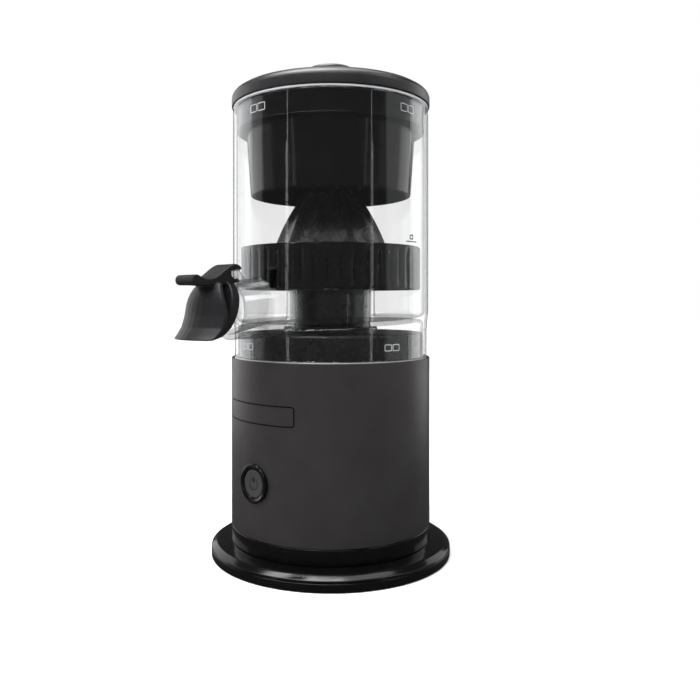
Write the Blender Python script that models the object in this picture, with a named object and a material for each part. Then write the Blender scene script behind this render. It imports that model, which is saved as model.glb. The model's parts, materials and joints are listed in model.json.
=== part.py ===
"""Cordless citrus press juicer, modelled as the separate pieces it is built from.

A motor base carries a clear juice tub with a pouring spout. A strainer basket and a spinning
reamer stand in the tub, and the lid holds a press cup that pushes a fruit half onto the reamer.

Frame: +Z up, origin at the centre of the flat underside, spout and power button towards -Y.
Sizes are in millimetres; new_object turns them into metres.
"""
import math

import bmesh
import bpy
from mathutils import Matrix, Vector

MM = 0.001
GAP = 0.3                      # clearance between neighbouring pieces
RING = 36                      # facets round a large turned piece
SMALL_RING = 24                # facets round a shaft, bush or cell
CORNER = 4.0                   # angle of a cylinder's first corner

# Base
FLANGE_R = 68.4
BODY_R = 57.0
FLANGE_TOP = 8.6
PLATE_R = 61.7
PLATE_TOP = 3.2
BAND_TOP = 17.2
SLEEVE_TOP = 111.5
SLEEVE_WALL = 1.0
HOUSING_TOP = 108.5
HOUSING_WALL = 2.3
FOOT_RING_R = 52.0             # circle of the rubber feet and base screws
FOOT_R = 6.3
PLINTH_R = 53.0
DECK_Z = 125.5                 # top face of the plinth
DECK_WALL = 2.7
BOSS_R = 27.0
BOSS_TOP = 128.6
TOWER_R = 23.0
TOWER_TOP = 149.5

# Button, on the front of the base
BUTTON_Z = 47.0
BUTTON_R = 8.2
BEZEL_R = 10.3
BUTTON_FACE_Y = -57.9

# Charging socket, at the back of the base
SOCKET_Z = 24.0

# Drive
SHAFT_R = 4.0
SHAFT_TOP = 168.0
MOTOR_X = 30.0                 # motor axis, beside the drive axis
MOTOR_R = 17.9
GEARBOX_FLOOR = 92.0
GEAR_Z = 103.0
GEAR_THICK = 6.0
GEAR_MODULE = 1.0
GEAR_TEETH = 48
PINION_TEETH = 12
CELL_R = 9.1
CELL_LENGTH = 65.0

# Juice tub
TUB_FOOT = 112.0
TUB_FOOT_R = 55.3
TUB_R = 56.2
TUB_WALL = 2.0
TUB_TOP = 252.3
TUB_SPLIT = 139.0              # height where the tub's wall meets its foot
FLOOR_Z = 133.1                # middle of the sloping floor's top face
FLOOR_THICK = 2.2
FLOOR_SLOPE = 0.043            # rise of the floor towards the back
HUB_R = 25.6
HUB_TOP = 150.2

# Spout and its cap
SPOUT_ROOT = (50.0, 140.2, 16.6)       # distance from the axis, height, outer radius
SPOUT_MOUTH = (74.0, 138.3, 14.9)
BORE_ROOT = (47.0, 143.3, 11.9)
BORE_MOUTH = (76.0, 138.4, 12.9)
PIN_RHO = 75.0
PIN_Z = 157.2
PIN_R = 2.2
HOOK_R = 4.9
HOOK_HALF = 7.6
CAP_R = 15.5
CAP_THICK = 5.0
PLUG_R = 11.8
PLUG_DEPTH = 1.6
NECK_R = 8.0
NECK_LENGTH = 7.8              # from the cap's disc to its shield
SHIELD_BOW = 0.018             # how fast the shield's sides curve back, per millimetre
CAP_REST_DEG = 15.0            # the cap stands this far open

# Strainer and reamer
STRAINER_R = 51.6
STRAINER_FOOT = 151.3
STRAINER_TOP = 173.8
SLOT_COUNT = 45
SLOT_WIDTH = 1.6
REAMER_R = 32.5
REAMER_FOOT = 164.0
REAMER_TOP = 216.0
REAMER_RIBS = 12
RIB_DEPTH = 0.05

# Lid
COLLAR_R = 53.9
COLLAR_FOOT = 239.7
LID_Z = 254.0
LID_TOP = 277.8
CUP_FOOT = 203.0
CUP_FOOT_R = 46.0
CUP_TOP_R = 48.6
CUP_WALL = 2.7


def clear_scene():
    """Empty the scene that the script runs in."""
    for old in list(bpy.data.objects):
        bpy.data.objects.remove(old, do_unlink=True)


def material(name, colour, roughness, metallic=0.0, alpha=1.0):
    """A plain Principled material."""
    mat = bpy.data.materials.new(name)
    mat.use_nodes = True
    shader = mat.node_tree.nodes["Principled BSDF"]
    shader.inputs["Base Color"].default_value = (*colour, 1.0)
    shader.inputs["Roughness"].default_value = roughness
    shader.inputs["Metallic"].default_value = metallic
    shader.inputs["Alpha"].default_value = alpha
    mat.diffuse_color = (*colour, alpha)
    return mat


def arc(centre, radius, start, end, steps):
    """Points on an arc, in degrees, both ends included."""
    points = []
    for i in range(steps + 1):
        angle = math.radians(start + (end - start) * i / steps)
        points.append((centre[0] + radius * math.cos(angle), centre[1] + radius * math.sin(angle)))
    return points


def new_object(name, bm, mat, pivot=None):
    """Turn a bmesh in millimetres into a named object, hung from a pivot empty if it moves."""
    bmesh.ops.recalc_face_normals(bm, faces=bm.faces)
    bmesh.ops.scale(bm, vec=(MM, MM, MM), verts=bm.verts)
    if pivot:
        bmesh.ops.translate(bm, vec=-pivot.location, verts=bm.verts)
    mesh = bpy.data.meshes.new(name)
    bm.to_mesh(mesh)
    bm.free()
    mesh.shade_smooth()
    mesh.set_sharp_from_angle(angle=math.radians(30))
    obj = bpy.data.objects.new(name, mesh)
    bpy.context.scene.collection.objects.link(obj)
    if mat:
        mesh.materials.append(mat)
    obj.parent = pivot
    return obj


def pivot_empty(name, x, y, z):
    """An empty on a joint's axis."""
    empty = bpy.data.objects.new(name, None)
    empty.location = (x * MM, y * MM, z * MM)
    empty.empty_display_size = 10 * MM
    bpy.context.scene.collection.objects.link(empty)
    return empty


def turned(profile, segments=RING, centre=(0.0, 0.0), radius_at=None):
    """Revolve a closed outline of (radius, height) points about a vertical axis."""
    bm = bmesh.new()
    rings = []
    for radius, height in profile:
        if radius == 0.0:
            rings.append([bm.verts.new((centre[0], centre[1], height))])
            continue
        ring = []
        for i in range(segments):
            angle = 2 * math.pi * i / segments
            reach = radius * radius_at(angle, radius, height) if radius_at else radius
            spot = (centre[0] + reach * math.cos(angle), centre[1] + reach * math.sin(angle), height)
            ring.append(bm.verts.new(spot))
        rings.append(ring)
    for k, ring in enumerate(rings):
        other = rings[(k + 1) % len(rings)]
        if len(ring) == 1 and len(other) == 1:
            continue
        for i in range(segments):
            j = (i + 1) % segments
            corners = [ring[i % len(ring)], ring[j % len(ring)], other[j % len(other)], other[i % len(other)]]
            bm.faces.new(list(dict.fromkeys(corners)))
    return bm


def prism(outline, axis, low, high):
    """Extrude a closed 2-D outline along X (outline in Y, Z), Y (in X, Z) or Z (in X, Y)."""
    place = {
        "X": lambda p, t: (t, p[0], p[1]),
        "Y": lambda p, t: (p[0], t, p[1]),
        "Z": lambda p, t: (p[0], p[1], t),
    }
    bm = bmesh.new()
    near = [bm.verts.new(place[axis](p, low)) for p in outline]
    far = [bm.verts.new(place[axis](p, high)) for p in outline]
    bm.faces.new(near)
    bm.faces.new(far[::-1])
    for i in range(len(outline)):
        j = (i + 1) % len(outline)
        bm.faces.new([near[i], near[j], far[j], far[i]])
    return bm


def rectangle(low, high):
    """Corners of a rectangle."""
    return [(low[0], low[1]), (high[0], low[1]), (high[0], high[1]), (low[0], high[1])]


def rod(axis, centre, radius, low, high, segments=SMALL_RING):
    """A cylinder along one axis; centre is in the other two axes.

    Its corners start a little off the axes, so that none of them lands on another piece's edge.
    """
    return prism(arc(centre, radius, CORNER, CORNER + 360 * (1 - 1 / segments), segments - 1), axis, low, high)


def tapered_tube(start, end, segments=36):
    """A cone along -Y between two (distance, height, radius) sections, closed at both ends."""
    bm = bmesh.new()
    rings = []
    last = 360.0 - 360.0 / segments
    for rho, height, radius in (start, end):
        rings.append([bm.verts.new((x, -rho, height + z)) for x, z in arc((0, 0), radius, 0, last, segments - 1)])
    bm.faces.new(rings[0])
    bm.faces.new(rings[1][::-1])
    for i in range(segments):
        j = (i + 1) % segments
        bm.faces.new([rings[0][i], rings[0][j], rings[1][j], rings[1][i]])
    return bm


def combine(obj, operation, bm, pivot=None):
    """Cut or join obj with a hidden tool object made from bm."""
    tool = new_object(obj.name + "_tool", bm, None, pivot)
    tool.hide_render = True
    tool.display_type = "WIRE"
    modifier = obj.modifiers.new(operation.lower(), "BOOLEAN")
    modifier.operation = operation
    modifier.solver = "EXACT"
    modifier.object = tool


def cut(obj, bm, pivot=None):
    """Take the shape bm away from obj."""
    combine(obj, "DIFFERENCE", bm, pivot)


def fuse(obj, bm, pivot=None):
    """Make the shape bm part of obj."""
    combine(obj, "UNION", bm, pivot)


def on_circle(radius, degrees):
    """A point on a circle round the main axis."""
    return radius * math.cos(math.radians(degrees)), radius * math.sin(math.radians(degrees))


# ---------------------------------------------------------------- base

def base_bottom(mats):
    """Flange, bottom plate, rubber feet and the screws that hold the plate."""
    flange_outline = [(PLATE_R + GAP, 0), (FLANGE_R - 0.5, 0), (FLANGE_R, 0.5), (FLANGE_R, 3.9),
                      (FLANGE_R - 0.7, 4.4), (FLANGE_R, 4.9)]
    flange_outline += arc((FLANGE_R - 2.2, 5.0), 2.2, 20, 90, 4)
    flange_outline += [(BODY_R + 1.2, FLANGE_TOP - 0.3), (BODY_R, FLANGE_TOP), (50.0, FLANGE_TOP),
                       (50.0, PLATE_TOP + GAP), (PLATE_R + GAP, PLATE_TOP + GAP)]
    flange = new_object("base_flange", turned(flange_outline), mats["gloss_black"])
    plate_outline = [(0.0, 0.0), (PLATE_R, 0.0), (PLATE_R, PLATE_TOP), (0.0, PLATE_TOP)]
    plate = new_object("base_plate", turned(plate_outline), mats["matte_black"])
    for i in range(4):
        x, y = on_circle(FOOT_RING_R, 45 + 90 * i)
        cut(plate, rod("Z", (x, y), FOOT_R + GAP, -1.0, 1.9, 16))
        new_object("foot_pad_%d" % (i + 1), rod("Z", (x, y), FOOT_R, 0.0, 1.6, 16), mats["rubber"])
        x, y = on_circle(FOOT_RING_R + 4.0, 90 * i)
        cut(plate, rod("Z", (x, y), 3.6, -1.0, 1.9, 16))
        cut(plate, rod("Z", (x, y), 1.8, 1.0, 4.0, 12))
        cut(flange, rod("Z", (x, y), 1.8, 2.0, 7.6, 12))
        screw_outline = [(0.0, 0.5), (3.0, 0.5), (3.0, 1.6), (1.4, 1.6), (1.4, 7.0), (0.0, 7.2)]
        new_object("base_screw_%d" % (i + 1), turned(screw_outline, 12, (x, y)), mats["steel"])


def base_shell(mats):
    """Inner housing with its visible lower band, and the metal sleeve wrapped round it."""
    foot = FLANGE_TOP + GAP
    skin = BODY_R - SLEEVE_WALL - GAP
    bore = skin - HOUSING_WALL
    outline = [(BODY_R, foot), (BODY_R, BAND_TOP), (skin, BAND_TOP), (skin, HOUSING_TOP),
               (bore, HOUSING_TOP), (bore, 11.9), (46.0, 11.9), (46.0, foot)]
    housing = new_object("inner_housing", turned(outline), mats["gloss_black"])
    sleeve_foot = BAND_TOP + GAP
    outline = [(BODY_R - SLEEVE_WALL, sleeve_foot), (BODY_R, sleeve_foot), (BODY_R, SLEEVE_TOP),
               (BODY_R - SLEEVE_WALL, SLEEVE_TOP)]
    sleeve = new_object("housing_sleeve", turned(outline), mats["sleeve"])
    for shell in (housing, sleeve):
        cut(shell, rod("Y", (0.0, BUTTON_Z), BEZEL_R - GAP, -60.0, -45.0))
        cut(shell, prism(rectangle((-5.4, SOCKET_Z - 2.4), (5.4, SOCKET_Z + 2.4)), "Y", 45.0, 60.0))


def motor_plinth(mats):
    """Deck that the tub stands on."""
    outline = [(BODY_R - 1.4, HOUSING_TOP + GAP), (BODY_R - 1.4, 110.2), (PLINTH_R, 110.2)]
    outline += arc((PLINTH_R - 1.9, DECK_Z - 1.9), 1.9, 0, 90, 3)
    outline += [(24.4, DECK_Z), (24.4, DECK_Z - DECK_WALL), (50.4, DECK_Z - DECK_WALL), (50.4, HOUSING_TOP + GAP)]
    plinth = new_object("motor_plinth", turned(outline), mats["satin_black"])
    for i in range(3):
        cut(plinth, rod("Z", on_circle(46.3, 30 + 120 * i), 1.8, 122.0, 124.6, 12))


def bearing_tower(mats):
    """Tower on the deck that carries the drive shaft's bearing inside the tub's hub."""
    foot = DECK_Z + GAP
    inner = TOWER_R - 2.6
    outline = [(BOSS_R + 1.4, foot), (BOSS_R, foot + 1.4), (BOSS_R, BOSS_TOP), (TOWER_R, BOSS_TOP),
               (TOWER_R, TOWER_TOP - 1.0), (TOWER_R - 1.0, TOWER_TOP), (9.3, TOWER_TOP), (9.3, 141.0), (6.0, 141.0),
               (6.0, 139.0), (12.0, 139.0), (12.0, 146.8), (inner, 146.8), (inner, foot)]
    new_object("bearing_tower", turned(outline), mats["satin_black"])


def gearbox(mats):
    """Gear housing hung under the plinth's deck, its screws, the bearings and the seal."""
    flange_top = DECK_Z - 2.7 - GAP
    floor_top = GEARBOX_FLOOR + 2.6
    outline = [(6.6, GEARBOX_FLOOR), (43.0, GEARBOX_FLOOR), (43.0, flange_top - 2.5), (49.5, flange_top - 2.5),
               (49.5, flange_top), (40.8, flange_top), (40.8, floor_top), (9.0, floor_top), (9.0, 98.6),
               (6.6, 98.6)]
    box = new_object("gearbox_housing", turned(outline, SMALL_RING), mats["grey_plastic"])
    cut(box, rod("Z", (MOTOR_X, 0.0), 3.2, 91.0, 96.0, 16))
    for i in range(3):
        spot = on_circle(46.3, 30 + 120 * i)
        cut(box, rod("Z", spot, 1.8, 119.0, 124.0, 12))
        screw_outline = [(0.0, 118.2), (2.7, 118.2), (2.7, 119.6), (1.4, 119.6), (1.4, 124.2), (0.0, 124.3)]
        new_object("gearbox_screw_%d" % (i + 1), turned(screw_outline, 12, spot), mats["steel"])
    for i, side in enumerate((-8.0, 8.0)):
        spot = (MOTOR_X, side)
        cut(box, rod("Z", spot, 1.8, 91.0, 96.0, 12))
        screw_outline = [(0.0, 96.4), (2.7, 96.4), (2.7, 95.0), (1.4, 95.0), (1.4, 88.0), (0.0, 87.8)]
        new_object("motor_screw_%d" % (i + 1), turned(screw_outline, 12, spot), mats["steel"])
    ring = [(SHAFT_R + GAP, GEARBOX_FLOOR + 0.2), (6.3, GEARBOX_FLOOR + 0.2), (6.3, 98.4), (SHAFT_R + GAP, 98.4)]
    new_object("lower_bush", turned(ring, SMALL_RING), mats["brass"])
    ring = [(SHAFT_R + GAP, 141.3), (9.0, 141.3), (9.0, 145.7), (SHAFT_R + GAP, 145.7)]
    new_object("shaft_bearing", turned(ring, SMALL_RING), mats["steel"])
    ring = [(SHAFT_R + GAP, 146.0), (9.0, 146.0), (9.0, 149.2), (SHAFT_R + GAP, 149.2)]
    new_object("shaft_seal", turned(ring, SMALL_RING), mats["rubber"])


def motor_and_power(mats):
    """Motor, battery cells in their cradle, control board, switch and charging socket."""
    top = GEARBOX_FLOOR - GAP
    outline = [(0.0, top - 57.0), (MOTOR_R - 1.0, top - 57.0), (MOTOR_R, top - 56.0), (MOTOR_R, top - 1.0),
               (MOTOR_R - 1.0, top), (0.0, top)]
    motor = new_object("motor", turned(outline, 32, (MOTOR_X, 0.0)), mats["steel"])
    for side in (-8.0, 8.0):
        cut(motor, rod("Z", (MOTOR_X, side), 1.8, 87.0, 93.0, 12))
    cradle = new_object("battery_cradle", prism(rectangle((-35.0, -23.5), (-9.0, 23.5)), "Z", 3.5, 18.0),
                        mats["matte_black"])
    for i, side in enumerate((-11.2, 11.2)):
        spot = (-22.0, side)
        cut(cradle, rod("Z", spot, CELL_R + GAP, 6.0, 20.0))
        new_object("battery_cell_%d" % (i + 1), rod("Z", spot, CELL_R, 6.3, 6.3 + CELL_LENGTH), mats["cell"])
    new_object("control_board", prism(rectangle((-16.0, 34.0), (16.0, 62.0)), "Y", -43.0, -41.4), mats["board"])
    switch = new_object("tact_switch", prism(rectangle((-3.0, BUTTON_Z - 3.0), (3.0, BUTTON_Z + 3.0)), "Y",
                                             -46.8, -43.3), mats["matte_black"])
    fuse(switch, rod("Y", (0.0, BUTTON_Z), 1.75, -47.8, -46.0, 12))
    new_object("charge_board", prism(rectangle((-9.0, 38.0), (9.0, 51.5)), "Z", 20.2, 21.6), mats["board"])
    socket = new_object("charge_socket", prism(rectangle((-4.7, SOCKET_Z - 1.8), (4.7, SOCKET_Z + 1.8)), "Y",
                                               47.5, 56.2), mats["steel"])
    cut(socket, prism(rectangle((-4.2, SOCKET_Z - 1.3), (4.2, SOCKET_Z + 1.3)), "Y", 49.5, 58.0))


def power_button(mats, pivot):
    """Bezel ring in the front of the base and the round button that presses into it."""
    bezel = new_object("button_bezel", rod("Y", (0.0, BUTTON_Z), BEZEL_R - 2 * GAP, -57.5, -52.0), mats["gloss_black"])
    fuse(bezel, rod("Y", (0.0, BUTTON_Z), BEZEL_R, -58.4, -57.3, 32))
    cut(bezel, rod("Y", (0.0, BUTTON_Z), BUTTON_R + GAP, -60.0, -50.0))
    button = new_object("power_button", rod("Y", (0.0, BUTTON_Z), BUTTON_R, BUTTON_FACE_Y, -51.2),
                        mats["sleeve"], pivot)
    fuse(button, rod("Y", (0.0, BUTTON_Z), BUTTON_R + 1.1, -51.7, -50.5), pivot)
    fuse(button, rod("Y", (0.0, BUTTON_Z), 2.0, -51.0, -48.9, 12), pivot)


def gear_outline(teeth, centre, first_tooth):
    """Closed outline of a spur gear with straight-flanked teeth, slim enough to run freely."""
    pitch_r = GEAR_MODULE * teeth / 2
    root_r = pitch_r - 1.15 * GEAR_MODULE
    tip_r = pitch_r + 0.8 * GEAR_MODULE
    root_half = 0.62 * GEAR_MODULE
    tip_half = 0.28 * GEAR_MODULE
    points = []
    for i in range(teeth):
        middle = first_tooth + 360.0 * i / teeth
        for radius, half in ((root_r, -root_half), (tip_r, -tip_half), (tip_r, tip_half), (root_r, root_half)):
            x, y = on_circle(radius, middle + math.degrees(half / radius))
            points.append((centre[0] + x, centre[1] + y))
    return points


def drive(mats, shaft_pivot, motor_pivot):
    """Drive shaft with its gear, and the motor shaft with its pinion."""
    shaft = new_object("drive_shaft", rod("Z", (0.0, 0.0), SHAFT_R, 92.4, TOWER_TOP + 1.0), mats["steel"],
                       shaft_pivot)
    fuse(shaft, rod("Z", (0.0, 0.0), SHAFT_R, TOWER_TOP - 1.0, SHAFT_TOP, 6), shaft_pivot)
    outline = gear_outline(GEAR_TEETH, (0.0, 0.0), 180.0 / GEAR_TEETH)
    gear = new_object("drive_gear", prism(outline, "Z", GEAR_Z, GEAR_Z + GEAR_THICK), mats["gear"], shaft_pivot)
    fuse(gear, rod("Z", (0.0, 0.0), 9.5, GEAR_Z - 3.0, GEAR_Z + GEAR_THICK + 3.0), shaft_pivot)
    cut(gear, rod("Z", (0.0, 0.0), SHAFT_R + GAP, GEAR_Z - 5.0, GEAR_Z + GEAR_THICK + 5.0), shaft_pivot)
    outline = gear_outline(PINION_TEETH, (MOTOR_X, 0.0), 180.0)
    pinion = new_object("motor_pinion", prism(outline, "Z", GEAR_Z - 1.0, GEAR_Z + GEAR_THICK + 1.0),
                        mats["brass"], motor_pivot)
    cut(pinion, rod("Z", (MOTOR_X, 0.0), 1.9, GEAR_Z - 5.0, GEAR_Z + GEAR_THICK + 5.0, 16), motor_pivot)
    new_object("motor_shaft", rod("Z", (MOTOR_X, 0.0), 1.6, 92.2, GEAR_Z + GEAR_THICK + 2.0, 16), mats["steel"],
               motor_pivot)


# ---------------------------------------------------------------- tub

def juice_tub(mats, pivot):
    """Clear wall of the tub, above its floor, with the way out to the spout."""
    wall_in = TUB_R - TUB_WALL
    low = TUB_SPLIT + GAP / 2
    outline = [(TUB_R, low), (TUB_R, TUB_TOP), (wall_in, TUB_TOP), (wall_in, low)]
    tub = new_object("juice_tub", turned(outline), mats["clear"], pivot)
    cut(tub, tapered_tube(BORE_ROOT, BORE_MOUTH), pivot)


def tub_foot(mats, pivot):
    """Skirt of the tub below its floor, with the low side of the way out to the spout."""
    high = TUB_SPLIT - GAP / 2
    wall_in = TUB_R - TUB_WALL
    outline = [(TUB_FOOT_R, TUB_FOOT), (TUB_FOOT_R, 126.0), (TUB_R, 138.5), (TUB_R, high), (wall_in, high),
               (wall_in, 136.0), (TUB_FOOT_R - 2.0, 129.0), (TUB_FOOT_R - 2.0, TUB_FOOT)]
    foot = new_object("tub_foot", turned(outline), mats["clear"], pivot)
    cut(foot, tapered_tube(BORE_ROOT, BORE_MOUTH), pivot)


def tub_floor(mats, pivot):
    """Sloping floor of the tub."""
    outer = TUB_FOOT_R - 2.0 - GAP
    inner = HUB_R + GAP
    under = FLOOR_Z - FLOOR_THICK
    bm = turned([(outer, FLOOR_Z), (inner, FLOOR_Z), (inner, under), (outer, under)])
    for vert in bm.verts:
        vert.co.z += FLOOR_SLOPE * vert.co.y
    new_object("tub_floor", bm, mats["clear"], pivot)


def tub_hub(mats, pivot):
    """Tube in the middle of the tub that keeps the juice off the drive."""
    under = FLOOR_Z - FLOOR_THICK
    wall_in = HUB_R - TUB_WALL
    outline = [(HUB_R, under), (HUB_R, HUB_TOP), (wall_in, HUB_TOP), (wall_in, under)]
    new_object("tub_hub", turned(outline), mats["clear"], pivot)


def tub_spout(mats, pivot):
    """Spout with the two ears and the pin that the cap snaps on."""
    spout = new_object("tub_spout", tapered_tube(SPOUT_ROOT, SPOUT_MOUTH), mats["clear"], pivot)
    cut(spout, rod("Z", (0.0, 0.0), TUB_R + GAP, 110.0, 170.0, 72), pivot)
    ear = [(-66.5, 149.2), (-73.6, 149.2), (-73.6, 151.9)]
    ear += arc((-PIN_RHO, PIN_Z), PIN_R + 0.4, 240, 90, 7)
    for side in (-1, 1):
        inner, outer = sorted((side * (HOOK_HALF + 0.4), side * (HOOK_HALF + 2.0)))
        fuse(spout, prism(ear, "X", inner, outer), pivot)
    fuse(spout, rod("X", (-PIN_RHO, PIN_Z), PIN_R, -HOOK_HALF - 1.2, HOOK_HALF + 1.2, 16), pivot)
    cut(spout, tapered_tube(BORE_ROOT, BORE_MOUTH), pivot)


def gasket(name, inner, outer, low, high, mat, pivot):
    """A flat silicone ring."""
    new_object(name, turned([(inner, low), (outer, low), (outer, high), (inner, high)]), mat, pivot)


def strainer_basket(mats, pivot):
    """Basket with upright slots all round its wall and a raised collar round the reamer's hub."""
    wall_in = STRAINER_R - 2.0
    floor = STRAINER_FOOT + 2.0
    slot_low = floor + 1.4
    slot_high = STRAINER_TOP - 4.0
    skirt = STRAINER_FOOT - 1.5
    profile = [(STRAINER_R, skirt), (STRAINER_R, slot_low), (STRAINER_R, slot_high), (STRAINER_R, STRAINER_TOP),
               (wall_in, STRAINER_TOP), (wall_in, slot_high), (wall_in, slot_low), (wall_in, floor), (29.5, floor),
               (29.5, 161.0), (27.5, 161.0), (24.0, floor), (24.0, 150.5), (30.0, 150.5), (30.0, STRAINER_FOOT),
               (wall_in, STRAINER_FOOT), (wall_in, skirt)]
    outer_row, inner_row = 1, 5
    pitch = 2 * math.pi / SLOT_COUNT
    slot = SLOT_WIDTH / STRAINER_R
    angles = []
    for i in range(SLOT_COUNT):
        angles += [i * pitch, i * pitch + slot]
    bm = bmesh.new()
    rings = [[bm.verts.new((r * math.cos(a), r * math.sin(a), z)) for a in angles] for r, z in profile]
    for i in range(len(angles)):
        j = (i + 1) % len(angles)
        slotted = i % 2 == 0
        for k, ring in enumerate(rings):
            if slotted and k in (outer_row, inner_row):
                continue
            other = rings[(k + 1) % len(rings)]
            bm.faces.new([ring[i], ring[j], other[j], other[i]])
        if slotted:
            outer_low, outer_high = rings[outer_row], rings[outer_row + 1]
            inner_high, inner_low = rings[inner_row], rings[inner_row + 1]
            bm.faces.new([outer_low[i], outer_low[j], inner_low[j], inner_low[i]])
            bm.faces.new([outer_high[i], outer_high[j], inner_high[j], inner_high[i]])
            bm.faces.new([outer_low[i], outer_high[i], inner_high[i], inner_low[i]])
            bm.faces.new([outer_low[j], outer_high[j], inner_high[j], inner_low[j]])
    new_object("strainer_basket", bm, mats["gloss_black"], pivot)


def reamer_dome():
    """Rows of the reamer's outer skin above its skirt, as (radius, height)."""
    low = REAMER_FOOT + 8.0
    rows = []
    for i in range(1, 7):
        rise = math.sin(math.radians(90.0 * i / 7))
        rows.append((REAMER_R * (1.0 - rise ** 1.15) ** 0.62, low + (REAMER_TOP - low) * rise))
    return rows


def reamer_cone(mats, pivot):
    """Ribbed dome that bores into the fruit, hollow below, with a socket for the drive shaft."""
    dome = reamer_dome()

    def rib(angle, radius, height):
        if (radius, height) not in dome or radius < 10.0:
            return 1.0
        return 1.0 + RIB_DEPTH * math.cos(REAMER_RIBS * angle)

    profile = [(REAMER_R, REAMER_FOOT), (REAMER_R, REAMER_FOOT + 8.0)] + dome
    profile += [(0.0, REAMER_TOP), (0.0, 169.5), (4.7, 169.5), (4.7, 151.0), (8.5, 151.0), (8.5, 200.0),
                (14.0, 196.0), (22.5, 186.0), (27.5, 175.0), (30.2, REAMER_FOOT)]
    new_object("reamer_cone", turned(profile, REAMER_RIBS * 4, radius_at=rib), mats["gloss_black"], pivot)


# ---------------------------------------------------------------- spout cap

def cap_side_outline():
    """Side view of the hook and thumb lever about the hinge pin, as (outward, up) points."""
    outline = arc((0, 0), HOOK_R, 148, 62, 7)
    outline += [(4.3, 3.3), (6.9, 1.4), (9.6, -0.6), (12.2, -2.2), (14.8, -3.0), (17.6, -3.1), (20.4, -2.1)]
    outline += arc((23.4, -3.6), 2.6, 115, -90, 7)
    outline += [(19.0, -6.1), (14.0, -6.3), (9.0, -6.5)]
    outline += arc((0, 0), HOOK_R, -62, -80, 3)
    outline += arc((0, 0), PIN_R + 0.4, -80, 148, 16)
    return [(-PIN_RHO - u, PIN_Z + w) for u, w in outline]


def shield_plate():
    """Flared front shield of the cap, wider and further out towards its lower edge."""
    rows = [(12.6, -5.0, 9.0), (16.2, -9.6, 12.6), (18.3, -15.2, 15.6), (19.3, -21.2, 17.2), (21.2, -27.0, 17.6),
            (23.9, -30.8, 17.0), (26.0, -33.0, 14.8)]
    columns = [-1.0, -0.75, -0.45, 0.0, 0.45, 0.75, 1.0]
    bm = bmesh.new()
    skins = []
    for depth in (0.0, 2.4):
        grid = []
        for u, w, half in rows:
            bow = [(half * c) ** 2 * SHIELD_BOW + depth for c in columns]
            grid.append([bm.verts.new((half * c, -PIN_RHO - u + b, PIN_Z + w)) for c, b in zip(columns, bow)])
        skins.append(grid)
    front, back = skins
    for i in range(len(rows) - 1):
        for j in range(len(columns) - 1):
            for skin in skins:
                bm.faces.new([skin[i][j], skin[i][j + 1], skin[i + 1][j + 1], skin[i + 1][j]])
    last = len(columns) - 1
    for i in range(len(rows) - 1):
        for j in (0, last):
            bm.faces.new([front[i][j], front[i + 1][j], back[i + 1][j], back[i][j]])
    for j in range(last):
        for i in (0, len(rows) - 1):
            bm.faces.new([front[i][j], front[i][j + 1], back[i][j + 1], back[i][j]])
    return bm


def spout_cap(mats, pivot):
    """Cap that snaps on the spout's pin: hook, thumb lever, sealing disc with plug, and shield."""
    cap = new_object("spout_cap", prism(cap_side_outline(), "X", -HOOK_HALF, HOOK_HALF), mats["cap"], pivot)
    disc_back = -SPOUT_MOUTH[0] - GAP
    centre = (0.0, SPOUT_MOUTH[1])
    opened = Matrix.Rotation(math.radians(-CAP_REST_DEG), 4, "X")
    hinge = Vector((0.0, -PIN_RHO, PIN_Z))
    swing = Matrix.Translation(hinge) @ opened @ Matrix.Translation(-hinge)
    disc_front = disc_back - CAP_THICK
    layers = [(CAP_R, disc_front, disc_back), (PLUG_R, disc_back - 1.0, disc_back + PLUG_DEPTH),
              (NECK_R, disc_front - NECK_LENGTH, disc_front + 1.0)]
    for radius, low, high in layers:
        bm = rod("Y", centre, radius, low, high, 32)
        bmesh.ops.transform(bm, matrix=swing, verts=bm.verts)
        fuse(cap, bm, pivot)
    fuse(cap, shield_plate(), pivot)


# ---------------------------------------------------------------- lid

def lid_cover(mats, pivot):
    """Domed cover with a low knob."""
    outline = [(BODY_R, LID_Z), (BODY_R, 258.8), (55.9, 261.0), (54.0, 262.2), (49.0, 264.0), (38.0, 266.4),
               (17.0, 268.2), (14.2, 269.8), (13.2, 274.0)]
    outline += arc((10.2, 274.8), 3.0, 0, 90, 4)
    outline += [(0.0, LID_TOP), (0.0, 265.8), (30.0, 265.0), (44.5, 263.0), (50.3, 261.0), (54.6, 257.2),
                (54.6, LID_Z)]
    new_object("lid_cover", turned(outline), mats["lid"], pivot)


def lid_collar(mats, pivot):
    """Ring that drops inside the tub's rim, with the ledge that carries the press cup."""
    inner = COLLAR_R - 2.0
    ledge = CUP_TOP_R + GAP
    outline = [(COLLAR_R, COLLAR_FOOT), (COLLAR_R, 256.0), (inner, 256.0), (inner, COLLAR_FOOT + 2.2),
               (ledge, COLLAR_FOOT + 2.2), (ledge, COLLAR_FOOT)]
    new_object("lid_collar", turned(outline), mats["gloss_black"], pivot)


def press_cup(mats, pivot):
    """Bell that pushes the fruit half down, domed inside and open below."""
    flange = COLLAR_FOOT + 2.2 + GAP
    inner_r = CUP_FOOT_R - CUP_WALL
    outline = [(CUP_FOOT_R, CUP_FOOT), (CUP_TOP_R, COLLAR_FOOT), (CUP_TOP_R, flange), (CUP_TOP_R + 3.0, flange),
               (CUP_TOP_R + 3.0, flange + 2.0), (44.0, flange + 2.0), (40.0, 239.8), (0.0, 239.8)]
    for i in range(7):
        angle = math.radians(90.0 * (6 - i) / 6)
        outline.append((0.0 if i == 0 else inner_r * math.cos(angle), 212.0 + 24.5 * math.sin(angle)))
    outline.append((inner_r, CUP_FOOT))
    new_object("press_cup", turned(outline), mats["gloss_black"], pivot)


# ---------------------------------------------------------------- the whole juicer

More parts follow.
